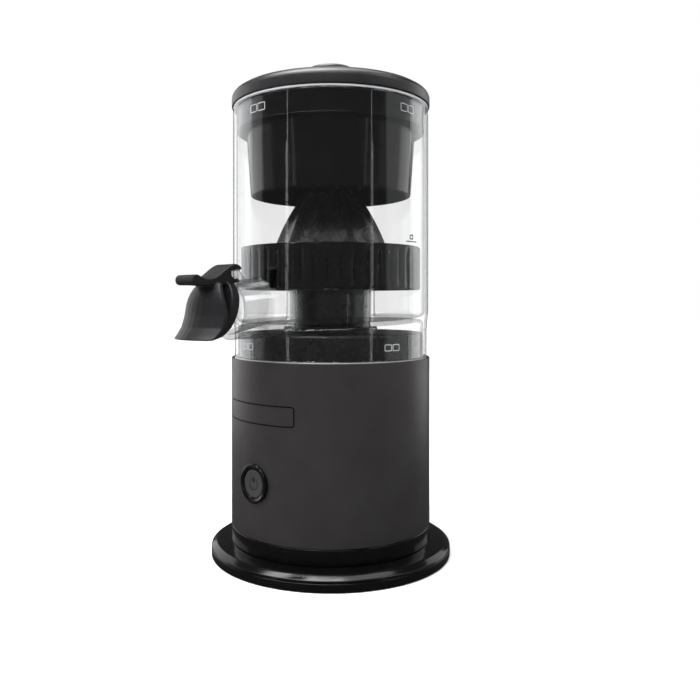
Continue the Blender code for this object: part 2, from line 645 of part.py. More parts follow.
def make_materials():
    """One material for each kind of surface."""
    return {
        "gloss_black": material("gloss_black", (0.012, 0.012, 0.014), 0.12),
        "satin_black": material("satin_black", (0.02, 0.02, 0.022), 0.35),
        "matte_black": material("matte_black", (0.03, 0.03, 0.03), 0.6),
        "sleeve": material("sleeve", (0.09, 0.09, 0.095), 0.38, 0.8),
        "lid": material("lid", (0.035, 0.036, 0.04), 0.4),
        "cap": material("cap", (0.03, 0.03, 0.033), 0.42),
        "clear": material("clear", (0.92, 0.94, 0.95), 0.05, 0.0, 0.3),
        "silicone": material("silicone", (0.8, 0.82, 0.83), 0.4, 0.0, 0.6),
        "rubber": material("rubber", (0.02, 0.02, 0.02), 0.8),
        "steel": material("steel", (0.6, 0.6, 0.62), 0.3, 1.0),
        "brass": material("brass", (0.75, 0.58, 0.3), 0.35, 1.0),
        "gear": material("gear", (0.85, 0.84, 0.8), 0.5),
        "grey_plastic": material("grey_plastic", (0.25, 0.26, 0.27), 0.55),
        "cell": material("cell", (0.1, 0.3, 0.5), 0.45),
        "board": material("board", (0.02, 0.2, 0.09), 0.5),
    }


def build():
    """Model every piece of the juicer."""
    clear_scene()
    mats = make_materials()
    button_pivot = pivot_empty("button_axis", 0.0, BUTTON_FACE_Y, BUTTON_Z)
    drive_pivot = pivot_empty("drive_axis", 0.0, 0.0, GEAR_Z)
    motor_pivot = pivot_empty("motor_axis", MOTOR_X, 0.0, GEAR_Z)
    tub_pivot = pivot_empty("tub_axis", 0.0, 0.0, TUB_FOOT)
    lid_pivot = pivot_empty("lid_axis", 0.0, 0.0, LID_Z)
    cap_pivot = pivot_empty("cap_hinge", 0.0, -PIN_RHO, PIN_Z)
    base_bottom(mats)
    base_shell(mats)
    motor_plinth(mats)
    bearing_tower(mats)
    gearbox(mats)
    motor_and_power(mats)
    power_button(mats, button_pivot)
    drive(mats, drive_pivot, motor_pivot)
    gasket("foot_gasket", PLINTH_R + 0.4, TUB_FOOT_R, 110.5, TUB_FOOT - GAP, mats["silicone"], tub_pivot)
    juice_tub(mats, tub_pivot)
    tub_foot(mats, tub_pivot)
    tub_floor(mats, tub_pivot)
    tub_hub(mats, tub_pivot)
    tub_spout(mats, tub_pivot)
    strainer_basket(mats, tub_pivot)
    reamer_cone(mats, drive_pivot)
    spout_cap(mats, cap_pivot)
    gasket("rim_gasket", COLLAR_R + 0.4, TUB_R - 0.1, TUB_TOP + GAP, LID_Z - GAP, mats["silicone"], lid_pivot)
    lid_cover(mats, lid_pivot)
    lid_collar(mats, lid_pivot)
    press_cup(mats, lid_pivot)


build()
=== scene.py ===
import json
import math

import bmesh
import bpy
from mathutils import Matrix, Vector


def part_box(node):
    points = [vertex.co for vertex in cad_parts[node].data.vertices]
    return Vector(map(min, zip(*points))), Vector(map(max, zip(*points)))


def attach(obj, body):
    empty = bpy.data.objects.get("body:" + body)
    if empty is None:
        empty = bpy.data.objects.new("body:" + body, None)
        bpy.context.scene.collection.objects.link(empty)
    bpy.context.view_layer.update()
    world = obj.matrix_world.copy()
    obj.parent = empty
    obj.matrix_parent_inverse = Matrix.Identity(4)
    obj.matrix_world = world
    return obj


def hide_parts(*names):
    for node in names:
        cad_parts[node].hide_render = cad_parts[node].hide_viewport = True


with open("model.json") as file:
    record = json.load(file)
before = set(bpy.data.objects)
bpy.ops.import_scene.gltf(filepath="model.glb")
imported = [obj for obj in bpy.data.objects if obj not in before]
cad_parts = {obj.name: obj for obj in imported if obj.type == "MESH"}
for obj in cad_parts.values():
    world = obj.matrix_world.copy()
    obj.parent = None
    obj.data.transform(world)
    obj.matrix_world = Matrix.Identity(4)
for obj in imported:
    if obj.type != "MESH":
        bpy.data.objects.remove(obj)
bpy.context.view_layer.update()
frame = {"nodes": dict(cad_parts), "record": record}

MM = 0.001
FINE = 144                      # facets round a large turned piece
DETAIL = 48                     # facets round a small one

# ------------------------------------------------------------------ driving sizes, from the frame

sleeve_low, sleeve_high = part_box("housing_sleeve")
_, flange_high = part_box("base_flange")
_, tub_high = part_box("juice_tub")
_, strainer_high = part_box("strainer_basket")
_, reamer_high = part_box("reamer_cone")
collar_low, collar_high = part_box("lid_collar")
cover_low, cover_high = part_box("lid_cover")
cup_low, cup_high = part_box("press_cup")
plinth_low, plinth_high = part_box("motor_plinth")
housing_low, housing_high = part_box("inner_housing")
bezel_low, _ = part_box("button_bezel")
button_low, button_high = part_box("power_button")

BODY_R = sleeve_high.x
FLANGE_R = flange_high.x
TUB_R = tub_high.x
TUB_WALL = 2.0 * MM
TUB_FOOT_R = 55.3 * MM
BUTTON_Z = (button_low.z + button_high.z) / 2
BUTTON_HOLE_R = 10.0 * MM
FLOOR_Z = 133.1 * MM            # middle of the tub's sloping floor, its upper side
FLOOR_THICK = 2.2 * MM
FLOOR_SLOPE = 0.043
HUB_R = 25.6 * MM
HUB_TOP = 150.2 * MM
CUP_WALL = 2.7 * MM

# Spout and cap: distance from the main axis, height and radius of each section
SPOUT_ROOT = (50.0 * MM, 140.2 * MM, 16.6 * MM)
SPOUT_MOUTH = (74.0 * MM, 138.3 * MM, 14.9 * MM)
BORE_ROOT = (47.0 * MM, 143.3 * MM, 11.9 * MM)
BORE_MOUTH = (76.0 * MM, 138.4 * MM, 12.9 * MM)
PIN_RHO = 75.0 * MM
PIN_Z = 157.2 * MM
PIN_R = 2.2 * MM
HOOK_R = 4.9 * MM
HOOK_HALF = 7.6 * MM
JAW_INNER = 5.4 * MM
SHIELD_BOW = 0.018              # how fast the shield's sides curve back, per millimetre
CAP_REST = math.radians(15.0)   # how far open the cap stands at rest


# ------------------------------------------------------------------ mesh helpers

def arc(centre, radius, start, end, steps):
    """Points on an arc, in degrees, both ends included."""
    points = []
    for i in range(steps + 1):
        angle = math.radians(start + (end - start) * i / steps)
        points.append((centre[0] + radius * math.cos(angle), centre[1] + radius * math.sin(angle)))
    return points


def filleted(corners, steps=4):
    """Round an outline's corners, each (radius, height, fillet radius) in millimetres; gives metres."""
    points = []
    count = len(corners)
    for i, (x, y, fillet) in enumerate(corners):
        here = Vector((x, y))
        before = Vector(corners[i - 1][:2]) - here
        after = Vector(corners[(i + 1) % count][:2]) - here
        if fillet == 0 or before.length == 0 or after.length == 0:
            points.append((x * MM, y * MM))
            continue
        turn = before.angle(after)
        reach = min(fillet / math.tan(turn / 2), before.length * 0.49, after.length * 0.49)
        start = here + before.normalized() * reach
        end = here + after.normalized() * reach
        for k in range(steps + 1):
            t = k / steps
            spot = start * (1 - t) ** 2 + here * 2 * t * (1 - t) + end * t ** 2
            points.append((spot.x * MM, spot.y * MM))
    return points


def piece(name, bm, mat, body, stands_for=(), sharp=32.0):
    """Turn a bmesh into a shown piece that rides on a body and may stand for CAD nodes."""
    bmesh.ops.recalc_face_normals(bm, faces=bm.faces)
    mesh = bpy.data.meshes.new(name)
    bm.to_mesh(mesh)
    bm.free()
    mesh.shade_smooth()
    mesh.set_sharp_from_angle(angle=math.radians(sharp))
    obj = bpy.data.objects.new(name, mesh)
    bpy.context.scene.collection.objects.link(obj)
    mesh.materials.append(mat)
    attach(obj, body)
    if stands_for:
        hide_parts(*stands_for)
    return obj


def turned(profile, segments=FINE, radius_at=None):
    """Revolve a closed outline of (radius, height) points about the main axis."""
    bm = bmesh.new()
    rings = []
    for radius, height in profile:
        if radius == 0.0:
            rings.append([bm.verts.new((0.0, 0.0, height))])
            continue
        ring = []
        for i in range(segments):
            angle = 2 * math.pi * i / segments
            reach = radius * radius_at(angle, radius, height) if radius_at else radius
            ring.append(bm.verts.new((reach * math.cos(angle), reach * math.sin(angle), height)))
        rings.append(ring)
    for ring, other in zip(rings, rings[1:] + rings[:1]):
        if len(ring) == 1 and len(other) == 1:
            continue
        for i in range(segments):
            j = (i + 1) % segments
            corners = [loop[k % len(loop)] for loop, k in ((ring, i), (ring, j), (other, j), (other, i))]
            bm.faces.new(list(dict.fromkeys(corners)))
    return bm


def prism(outline, axis, low, high):
    """Extrude a closed 2-D outline along X (outline in Y, Z), Y (in X, Z) or Z (in X, Y)."""
    place = "XYZ".index(axis)
    bm = bmesh.new()
    near = [bm.verts.new((*p[:place], low, *p[place:])) for p in outline]
    far = [bm.verts.new((*p[:place], high, *p[place:])) for p in outline]
    bm.faces.new(near)
    bm.faces.new(far[::-1])
    for i in range(len(outline)):
        j = (i + 1) % len(outline)
        bm.faces.new([near[i], near[j], far[j], far[i]])
    return bm


def rod(axis, centre, radius, low, high, segments=DETAIL):
    """A cylinder along one axis; centre is in the other two axes."""
    return prism(arc(centre, radius, 2, 2 + 360 * (1 - 1 / segments), segments - 1), axis, low, high)


def tapered_tube(start, end, segments=96):
    """A cone along -Y between two (distance, height, radius) sections, closed at both ends."""
    bm = bmesh.new()
    rings = []
    for rho, height, radius in (start, end):
        circle = arc((0, height), radius, 0, 360 * (1 - 1 / segments), segments - 1)
        rings.append([bm.verts.new((x, -rho, z)) for x, z in circle])
    bm.faces.new(rings[0])
    bm.faces.new(rings[1][::-1])
    for i in range(segments):
        j = (i + 1) % segments
        bm.faces.new([rings[0][i], rings[0][j], rings[1][j], rings[1][i]])
    return bm


def solid(bm):
    """A scratch object for a Boolean, from a bmesh."""
    bmesh.ops.recalc_face_normals(bm, faces=bm.faces)
    mesh = bpy.data.meshes.new("tool")
    bm.to_mesh(mesh)
    bm.free()
    obj = bpy.data.objects.new("tool", mesh)
    bpy.context.scene.collection.objects.link(obj)
    return obj


def carve(bm, steps):
    """Apply Booleans, each (operation, bmesh), to a bmesh and give the result."""
    base = solid(bm)
    for operation, tool_bm in steps:
        tool = solid(tool_bm)
        modifier = base.modifiers.new("step", "BOOLEAN")
        modifier.operation = operation
        modifier.object = tool
        evaluated = base.evaluated_get(bpy.context.evaluated_depsgraph_get())
        baked = bpy.data.meshes.new_from_object(evaluated)
        base.modifiers.clear()
        base.data = baked
        bpy.data.objects.remove(tool)
    result = bmesh.new()
    result.from_mesh(base.data)
    bpy.data.objects.remove(base)
    return result


def strip_faces(bm, rows, closed):
    """Skin a run of four-cornered sections, and cap its ends if it is open."""
    order = (0, 1, 3, 2)
    count = len(rows)
    for i in range(count if closed else count - 1):
        following = rows[(i + 1) % count]
        for k in range(4):
            a, b = order[k], order[(k + 1) % 4]
            bm.faces.new([rows[i][a], rows[i][b], following[b], following[a]])
    if not closed:
        for row in (rows[0], rows[-1]):
            bm.faces.new([row[k] for k in order])


def flat_line(points, half, depth, thick):
    """A thin raised line on a face looking towards -Y; points are (x, z)."""
    bm = bmesh.new()
    rows = []
    for i, (x, z) in enumerate(points):
        before = Vector(points[max(i - 1, 0)])
        after = Vector(points[min(i + 1, len(points) - 1)])
        along = (after - before).normalized()
        side = Vector((-along.y, along.x)) * half
        row = []
        for sign in (-1, 1):
            for y in (-depth, -depth - thick):
                row.append(bm.verts.new((x + side.x * sign, y, z + side.y * sign)))
        rows.append(row)
    strip_faces(bm, rows, closed=False)
    return bm


def wrapped_strip(points, radius, thick, closed=True):
    """A thin raised line on a cylinder. Points are (along, up, half width) on the unrolled surface."""
    bm = bmesh.new()
    count = len(points)
    rows = []
    for i, (s, z, half) in enumerate(points):
        before = Vector(points[i - 1][:2]) if closed or i else Vector(points[i][:2])
        after = Vector(points[(i + 1) % count][:2]) if closed or i < count - 1 else Vector(points[i][:2])
        along = (after - before).normalized()
        side = Vector((-along.y, along.x)) * half
        row = []
        for sign in (-1, 1):
            for reach in (radius, radius + thick):
                angle = (s + side.x * sign) / radius - math.pi / 2
                height = z + side.y * sign
                row.append(bm.verts.new((reach * math.cos(angle), reach * math.sin(angle), height)))
        rows.append(row)
    strip_faces(bm, rows, closed)
    return bm


def rounded_rectangle(centre, width, height, corner, steps):
    """Outline of a rectangle with round corners."""
    points = []
    for sx, sy, start in ((1, -1, 270), (1, 1, 0), (-1, 1, 90), (-1, -1, 180)):
        hub = (centre[0] + sx * (width / 2 - corner), centre[1] + sy * (height / 2 - corner))
        points += arc(hub, corner, start, start + 90, steps)
    return points


def rounded_frame(centre, width, height, corner, half, steps=8):
    """Points of a rounded rectangle for wrapped_strip, close enough together to bend round the body."""
    longest_step = 1.5 * MM
    points = rounded_rectangle(centre, width, height, corner, steps)
    filled = []
    for here, after in zip(points, points[1:] + points[:1]):
        parts = max(1, round(math.dist(here, after) / longest_step))
        for k in range(parts):
            t = k / parts
            filled.append((here[0] + (after[0] - here[0]) * t, here[1] + (after[1] - here[1]) * t, half))
    return filled


# ------------------------------------------------------------------ materials

def node_material(name):
    """A new material, its node tree and its Principled shader."""
    mat = bpy.data.materials.new(name)
    mat.use_nodes = True
    tree = mat.node_tree
    return mat, tree, tree.nodes["Principled BSDF"]


def object_noise(tree, scale, detail=4.0, stretch=(1.0, 1.0, 1.0), rough=0.55):
    """Noise in the piece's own coordinates."""
    coords = tree.nodes.new("ShaderNodeTexCoord")
    mapping = tree.nodes.new("ShaderNodeMapping")
    mapping.inputs["Scale"].default_value = stretch
    noise = tree.nodes.new("ShaderNodeTexNoise")
    noise.inputs["Scale"].default_value = scale
    noise.inputs["Detail"].default_value = detail
    noise.inputs["Roughness"].default_value = rough
    tree.links.new(coords.outputs["Object"], mapping.inputs["Vector"])
    tree.links.new(mapping.outputs["Vector"], noise.inputs["Vector"])
    return noise.outputs["Fac"]


def ranged(tree, source, low, high, start=0.3, end=0.7):
    """Map a noise value onto a range."""
    node = tree.nodes.new("ShaderNodeMapRange")
    node.inputs["From Min"].default_value = start
    node.inputs["From Max"].default_value = end
    node.inputs["To Min"].default_value = low
    node.inputs["To Max"].default_value = high
    tree.links.new(source, node.inputs["Value"])
    return node.outputs["Result"]


def shaded(tree, source, dark, light):
    """Blend two colours by a noise value."""
    mix = tree.nodes.new("ShaderNodeMix")
    mix.data_type = "RGBA"
    mix.inputs["A"].default_value = (*dark, 1.0)
    mix.inputs["B"].default_value = (*light, 1.0)
    tree.links.new(ranged(tree, source, 0.0, 1.0), mix.inputs["Factor"])
    return mix.outputs["Result"]


def bumped(tree, shader, source, strength, distance):
    """Feed a noise value into the shader's normal."""
    bump = tree.nodes.new("ShaderNodeBump")
    bump.inputs["Strength"].default_value = strength
    bump.inputs["Distance"].default_value = distance
    tree.links.new(source, bump.inputs["Height"])
    tree.links.new(bump.outputs["Normal"], shader.inputs["Normal"])


def moulded(name, dark, light, roughness, grain_scale, grain, spread=0.05, metallic=0.0, shine=0.5):
    """Moulded plastic or coated metal: slow colour drift, uneven gloss and a fine surface grain."""
    mat, tree, shader = node_material(name)
    drift = object_noise(tree, 38.0, 5.0)
    tree.links.new(shaded(tree, drift, dark, light), shader.inputs["Base Color"])
    handling = object_noise(tree, 95.0, 6.0, rough=0.65)
    tree.links.new(ranged(tree, handling, roughness - spread, roughness + spread), shader.inputs["Roughness"])
    bumped(tree, shader, object_noise(tree, grain_scale, 3.0), grain, 0.0002)
    shader.inputs["Metallic"].default_value = metallic
    shader.inputs["Specular IOR Level"].default_value = shine
    return mat


def clear_plastic():
    """Clear moulded plastic: see-through face on, mirror-like towards its edges, thicker at the spout, with
    painted shade darkening its colour towards the spout.
    """
    mat, tree, shader = node_material("clear")
    wall_alpha, spout_alpha, edge_alpha = 0.06, 0.26, 0.70
    # Painted shade: the colour is darkened to this share at the spout, so that its outlines show grey.
    spout_painted_shade = 0.45
    spout_full, spout_start = -58 * MM, -56 * MM
    facing = tree.nodes.new("ShaderNodeLayerWeight")
    facing.inputs["Blend"].default_value = 0.5
    steep = tree.nodes.new("ShaderNodeMath")
    steep.operation = "POWER"
    steep.inputs[1].default_value = 4.0
    tree.links.new(facing.outputs["Facing"], steep.inputs[0])
    place = tree.nodes.new("ShaderNodeSeparateXYZ")
    tree.links.new(tree.nodes.new("ShaderNodeTexCoord").outputs["Object"], place.inputs["Vector"])
    thick = ranged(tree, place.outputs["Y"], spout_alpha, wall_alpha, spout_full, spout_start)
    total = tree.nodes.new("ShaderNodeMath")
    total.operation = "ADD"
    total.use_clamp = True
    edges = ranged(tree, steep.outputs["Value"], 0.0, edge_alpha, 0.0, 1.0)
    tree.links.new(edges, total.inputs[0])
    tree.links.new(thick, total.inputs[1])
    tree.links.new(total.outputs["Value"], shader.inputs["Alpha"])
    haze = object_noise(tree, 60.0, 4.0, (1.0, 1.0, 0.3))
    # The haze colour, darkened by painted shade towards the spout.
    haze_with_spout_shade = tree.nodes.new("ShaderNodeVectorMath")
    haze_with_spout_shade.operation = "SCALE"
    tree.links.new(shaded(tree, haze, (0.84, 0.86, 0.88), (0.93, 0.95, 0.96)), haze_with_spout_shade.inputs["Vector"])
    fade = ranged(tree, place.outputs["Y"], spout_painted_shade, 1.0, spout_full, spout_start)
    tree.links.new(fade, haze_with_spout_shade.inputs["Scale"])
    tree.links.new(haze_with_spout_shade.outputs["Vector"], shader.inputs["Base Color"])
    tree.links.new(ranged(tree, haze, 0.03, 0.07), shader.inputs["Roughness"])
    bumped(tree, shader, object_noise(tree, 22.0, 2.0, (1.0, 1.0, 0.2)), 0.004, 0.0004)
    shader.inputs["Metallic"].default_value = 1.0
    return mat


def metal(name, dark, light, roughness, stretch):
    """Drawn or turned metal with fine lines along one direction."""
    mat, tree, shader = node_material(name)
    lines = object_noise(tree, 700.0, 3.0, stretch, 0.7)
    tree.links.new(shaded(tree, lines, dark, light), shader.inputs["Base Color"])
    tree.links.new(ranged(tree, lines, roughness - 0.08, roughness + 0.1), shader.inputs["Roughness"])
    bumped(tree, shader, lines, 0.15, 0.0001)
    shader.inputs["Metallic"].default_value = 1.0
    return mat


def make_materials():
    """One material for each of the record's slots, and two for printed marks."""
    plastics = [
        # name, darkest, lightest, roughness, grain scale, grain strength; then, where they differ from
        # moulded's own: roughness spread, metallic, shine
        ("gloss_black", (0.0016, 0.0016, 0.0018), (0.0032, 0.0031, 0.0033), 0.14, 900.0, 0.02, 0.04, 0.0,
         0.35),
        ("satin_black", (0.005, 0.005, 0.0055), (0.008, 0.008, 0.009), 0.28, 1600.0, 0.08, 0.05, 0.0, 0.35),
        ("matte_black", (0.012, 0.012, 0.012), (0.020, 0.020, 0.020), 0.60, 2200.0, 0.25),
        ("sleeve", (0.046, 0.042, 0.043), (0.056, 0.052, 0.053), 0.40, 3200.0, 0.18, 0.03, 0.6),
        ("button", (0.024, 0.023, 0.024), (0.032, 0.031, 0.032), 0.36, 2600.0, 0.15),
        ("lid", (0.0065, 0.0062, 0.0072), (0.0095, 0.0092, 0.0104), 0.38, 2400.0, 0.25, 0.04, 0.0, 0.7),
        ("cap", (0.0075, 0.0070, 0.0080), (0.0110, 0.0104, 0.0118), 0.42, 2600.0, 0.18, 0.05, 0.0, 0.2),
        ("silicone", (0.40, 0.41, 0.43), (0.50, 0.51, 0.53), 0.38, 1200.0, 0.08),
        ("rubber", (0.011, 0.011, 0.011), (0.022, 0.022, 0.022), 0.80, 2600.0, 0.45),
        ("gear", (0.74, 0.73, 0.68), (0.84, 0.83, 0.79), 0.48, 1500.0, 0.12),
        ("grey_plastic", (0.10, 0.105, 0.11), (0.16, 0.165, 0.17), 0.52, 1900.0, 0.25),
        ("cell", (0.03, 0.11, 0.24), (0.05, 0.15, 0.31), 0.34, 800.0, 0.10),
        ("board", (0.008, 0.07, 0.028), (0.014, 0.11, 0.045), 0.42, 1400.0, 0.15),
    ]
    prints = [
        ("pale_print", (0.42, 0.43, 0.44), (0.52, 0.53, 0.54), 0.55, 1800.0, 0.05),
        ("dark_print", (0.002, 0.002, 0.002), (0.004, 0.004, 0.004), 0.55, 1800.0, 0.05, 0.05, 0.0, 0.1),
    ]
    mats = {row[0]: moulded(*row) for row in plastics}
    mats["clear"] = clear_plastic()
    mats["steel"] = metal("steel", (0.50, 0.50, 0.51), (0.68, 0.68, 0.70), 0.30, (1.0, 1.0, 0.04))
    mats["brass"] = metal("brass", (0.62, 0.45, 0.20), (0.80, 0.62, 0.33), 0.28, (1.0, 1.0, 0.06))
    marks = {row[0]: moulded(*row) for row in prints}
    return mats, marks


def paint_cad_nodes(mats):
    """Give every CAD node the finish of its record slot, from the scene's own materials."""
    for row in frame["record"]["subparts"]:
        mesh = frame["nodes"][row["node"]].data
        mesh.materials.clear()
        mesh.materials.append(mats[row["material_slot"]])


# ------------------------------------------------------------------ base

def flange_shell(mats):
    """Base flange: a fine groove round its edge and a soft shoulder up to the body."""
    r = FLANGE_R / MM
    top = flange_high.z / MM
    body = BODY_R / MM
    recess_r = 62.0
    recess_top = 3.5
    inner_r = 50.0
    corners = [(recess_r, 0.0, 0), (r, 0.0, 0.6), (r, 4.3, 0.3), (r - 0.4, 4.5, 0.1), (r - 0.4, 4.7, 0.1),
               (r, 4.9, 0.25), (r - 0.35, 5.9, 0.9), (r - 3.4, 7.9, 3.6), (body + 2.0, top - 0.3, 1.2),
               (body, top, 0.4), (inner_r, top, 0), (inner_r, recess_top, 0), (recess_r, recess_top, 0)]
    bm = turned(filleted(corners, 6))
    piece("flange_shell", bm, mats["gloss_black"], "base", ["base_flange"])


def side_openings(hole_facets):
    """Cutters for the button's hole in front and the charging socket behind."""
    low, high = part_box("charge_socket")
    middle = (0.0, (low.z + high.z) / 2)
    socket = rounded_rectangle(middle, 10.8 * MM, 4.8 * MM, 1.6 * MM, 6)
    near, far = 45 * MM, 60 * MM
    return [("DIFFERENCE", rod("Y", (0.0, BUTTON_Z), BUTTON_HOLE_R, -far, -near, hole_facets)),
            ("DIFFERENCE", prism(socket, "Y", near, far))]


def housing_pieces(mats):
    """Inner housing, which shows as the lower band, and the metal sleeve round it."""
    body = BODY_R / MM
    foot = housing_low.z / MM
    top = housing_high.z / MM
    low = sleeve_low.z / MM
    high = sleeve_high.z / MM
    band_top = low - 0.3
    under_sleeve = 55.7
    inner_r = 53.4
    corners = [(body, foot, 0.4), (body - 0.15, band_top, 0.5), (under_sleeve, band_top, 0),
               (under_sleeve, top, 0), (inner_r, top, 0), (inner_r, 11.9, 0), (46.0, 11.9, 0),
               (46.0, foot, 0)]
    bm = carve(turned(filleted(corners)), side_openings(DETAIL))
    piece("housing_shell", bm, mats["gloss_black"], "base", ["inner_housing"])
    corners = [(body - 1.0, low, 0.2), (body, low, 0.35), (body, high, 0.45), (body - 1.0, high, 0.45)]
    bm = carve(turned(filleted(corners)), side_openings(64))
    piece("metal_sleeve", bm, mats["sleeve"], "base", ["housing_sleeve"])


def plinth_shell(mats):
    """Motor plinth with the bearing tower on it, turned as one shell."""
    r = plinth_high.x / MM
    low = plinth_low.z / MM
    deck = plinth_high.z / MM
    tower_r = 23.0
    tower_bore = 20.4
    tower_top = 149.5
    corners = [(r, low, 0), (r, 110.2, 0.3), (53.0, 110.2, 0.3), (53.0, deck, 1.9), (27.0, deck, 2.6),
               (27.0, 128.6, 0.8), (tower_r, 128.6, 0.5), (tower_r, tower_top, 1.0), (9.3, tower_top, 0.3),
               (9.3, 141.0, 0), (6.0, 141.0, 0), (6.0, 139.0, 0), (12.0, 139.0, 0), (12.0, 146.8, 0),
               (tower_bore, 146.8, 0), (tower_bore, 126.0, 0), (24.4, 126.0, 0), (24.4, 122.8, 0),
               (50.4, 122.8, 0), (50.4, low, 0)]
    piece("plinth_shell", turned(filleted(corners, 5)), mats["satin_black"], "base",
          ["motor_plinth", "bearing_tower"])


def badge_frame(marks):
    """Empty printed frame on the sleeve, a little left of the middle of the front."""
    outline = rounded_frame((-1.5 * MM, 83.9 * MM), 54.3 * MM, 10.2 * MM, 1.6 * MM, 0.34 * MM)
    piece("badge_frame", wrapped_strip(outline, BODY_R, 0.06 * MM), marks["dark_print"], "base")


def around_button(profile, segments=72):
    """Revolve a closed outline of (radius, depth towards -Y) about the button's axis."""
    bm = turned(profile, segments)
    turn = Matrix.Translation((0.0, 0.0, BUTTON_Z)) @ Matrix.Rotation(math.radians(90), 4, "X")
    bmesh.ops.transform(bm, matrix=turn, verts=bm.verts)
    return bm


def button_pieces(mats, marks):
    """Bezel ring, button with its dished face, and the printed power mark on it."""
    front = -bezel_low.y / MM
    opening = 7.7
    bezel_r = 10.3
    corners = [(opening, 52.0, 0), (9.7, 52.0, 0), (9.7, 56.0, 0), (bezel_r, 56.6, 0.2),
               (bezel_r, front - 0.2, 0.5), (9.2, front, 0.6), (opening, front - 0.7, 0.4)]
    bm = around_button(filleted(corners))
    piece("bezel_ring", bm, mats["gloss_black"], "base", ["button_bezel"])
    face = -button_low.y / MM
    back = 48.9
    disc_r = 7.4
    corners = [(0.0, back, 0), (2.0, back, 0.2), (2.0, 50.5, 0), (9.3, 50.5, 0.2), (9.3, 51.7, 0.2),
               (disc_r, 51.7, 0), (disc_r, face - 0.1, 0.7), (5.8, face - 0.25, 1.2), (0.0, face - 0.6, 0)]
    bm = around_button(filleted(corners))
    piece("button_disc", bm, mats["button"], "button", ["power_button"])
    depth = (face - 0.52) * MM
    ring = arc((0.0, BUTTON_Z), 3.5 * MM, 125, 415, 40)
    bar = [(0.0, BUTTON_Z + up * MM) for up in (0.9, 2.6, 4.3)]
    for name, line in (("power_mark_ring", ring), ("power_mark_bar", bar)):
        piece(name, flat_line(line, 0.58 * MM, depth, 0.12 * MM), marks["dark_print"], "button")


# ------------------------------------------------------------------ tub

def hinge_ears():
    """Union steps for the two ears above the spout and the pin between them."""
    ear = [(-66.5 * MM, 149.2 * MM), (-73.6 * MM, 149.2 * MM), (-73.6 * MM, 151.9 * MM)]
    ear += arc((-PIN_RHO, PIN_Z), PIN_R + 0.4 * MM, 240, 90, 14)
    steps = []
    for side in (-1, 1):
        inner, outer = sorted((side * (HOOK_HALF + 0.4 * MM), side * (HOOK_HALF + 2.0 * MM)))
        steps.append(("UNION", prism(ear, "X", inner, outer)))
    steps.append(("UNION", rod("X", (-PIN_RHO, PIN_Z), PIN_R, -HOOK_HALF - MM, HOOK_HALF + MM, 32)))
    return steps


def tub_shell(mats):
    """Clear tub with its sloping floor, hub tube, spout, ears and hinge pin."""
    r = TUB_R / MM
    wall = TUB_WALL / MM
    top = tub_high.z / MM
    foot = 112.0
    foot_r = TUB_FOOT_R / MM
    floor = FLOOR_Z / MM
    underside = (FLOOR_Z - FLOOR_THICK) / MM
    hub = HUB_R / MM
    hub_top = HUB_TOP / MM
    corners = [(foot_r, foot, 0.5), (foot_r, 127.0, 6.0), (r, 138.0, 6.0), (r, top, 0.7),
               (r - wall, top, 0.7), (r - wall, floor, 3.4), (hub, floor, 3.0), (hub, hub_top, 0.8),
               (hub - wall, hub_top, 0.8), (hub - wall, underside, 0.6), (foot_r - wall, underside, 1.6),
               (foot_r - wall, foot, 0.5)]
    bm = turned(filleted(corners, 5))
    for vert in bm.verts:
        radius = math.hypot(vert.co.x, vert.co.y)
        if 129.5 * MM < vert.co.z < 137.0 * MM and radius < TUB_R - 1.9 * MM:
            vert.co.z += FLOOR_SLOPE * vert.co.y
    inside_of_wall = rod("Z", (0, 0), 55.0 * MM, 110 * MM, 170 * MM, FINE)
    spout = carve(tapered_tube(SPOUT_ROOT, SPOUT_MOUTH), [("DIFFERENCE", inside_of_wall)])
    bore = tapered_tube(BORE_ROOT, BORE_MOUTH)
    bm = carve(bm, [("UNION", spout)] + hinge_ears() + [("DIFFERENCE", bore)])
    piece("clear_tub", bm, mats["clear"], "tub",
          ["juice_tub", "tub_foot", "tub_floor", "tub_hub", "tub_spout"])


def lock_marks(marks):
    """Plain marks where the lid locks, two small open boxes each, on the lid's band and the tub's foot."""
    lid_z, tub_z = 246.3 * MM, 119.0 * MM
    places = [("lid", collar_high.x, lid_z, -1.5, 1.0), ("lid", collar_high.x, lid_z, 95.0, 1.0),
              ("tub", TUB_FOOT_R, tub_z, -8.5, 0.8), ("tub", TUB_FOOT_R, tub_z, 80.5, 0.8)]
    for i, (body, radius, height, degrees, scale) in enumerate(places):
        middle = radius * math.radians(degrees)
        unit = scale * MM
        for k, offset in enumerate((-3.3, 3.3)):
            centre = (middle + offset * unit, height)
            outline = rounded_frame(centre, 5.4 * unit, 3.9 * unit, 0.5 * unit, 0.22 * unit, 3)
            bm = wrapped_strip(outline, radius, 0.05 * MM)
            piece("lock_mark_%d_%d" % (i + 1, k + 1), bm, marks["pale_print"], body)


def fill_mark(marks):
    """Plain fill line on the tub's side, with a small open box above it."""
    middle = TUB_R * math.radians(95.0)
    height = 175.0 * MM
    line = [(middle + t * MM, height, 0.25 * MM) for t in range(-5, 6)]
    piece("fill_line", wrapped_strip(line, TUB_R, 0.05 * MM, closed=False), marks["dark_print"], "tub")
    box = rounded_frame((middle, height + 2.4 * MM), 2.6 * MM, 2.0 * MM, 0.3 * MM, 0.3 * MM, 2)
    piece("fill_arrow", wrapped_strip(box, TUB_R, 0.05 * MM), marks["dark_print"], "tub")


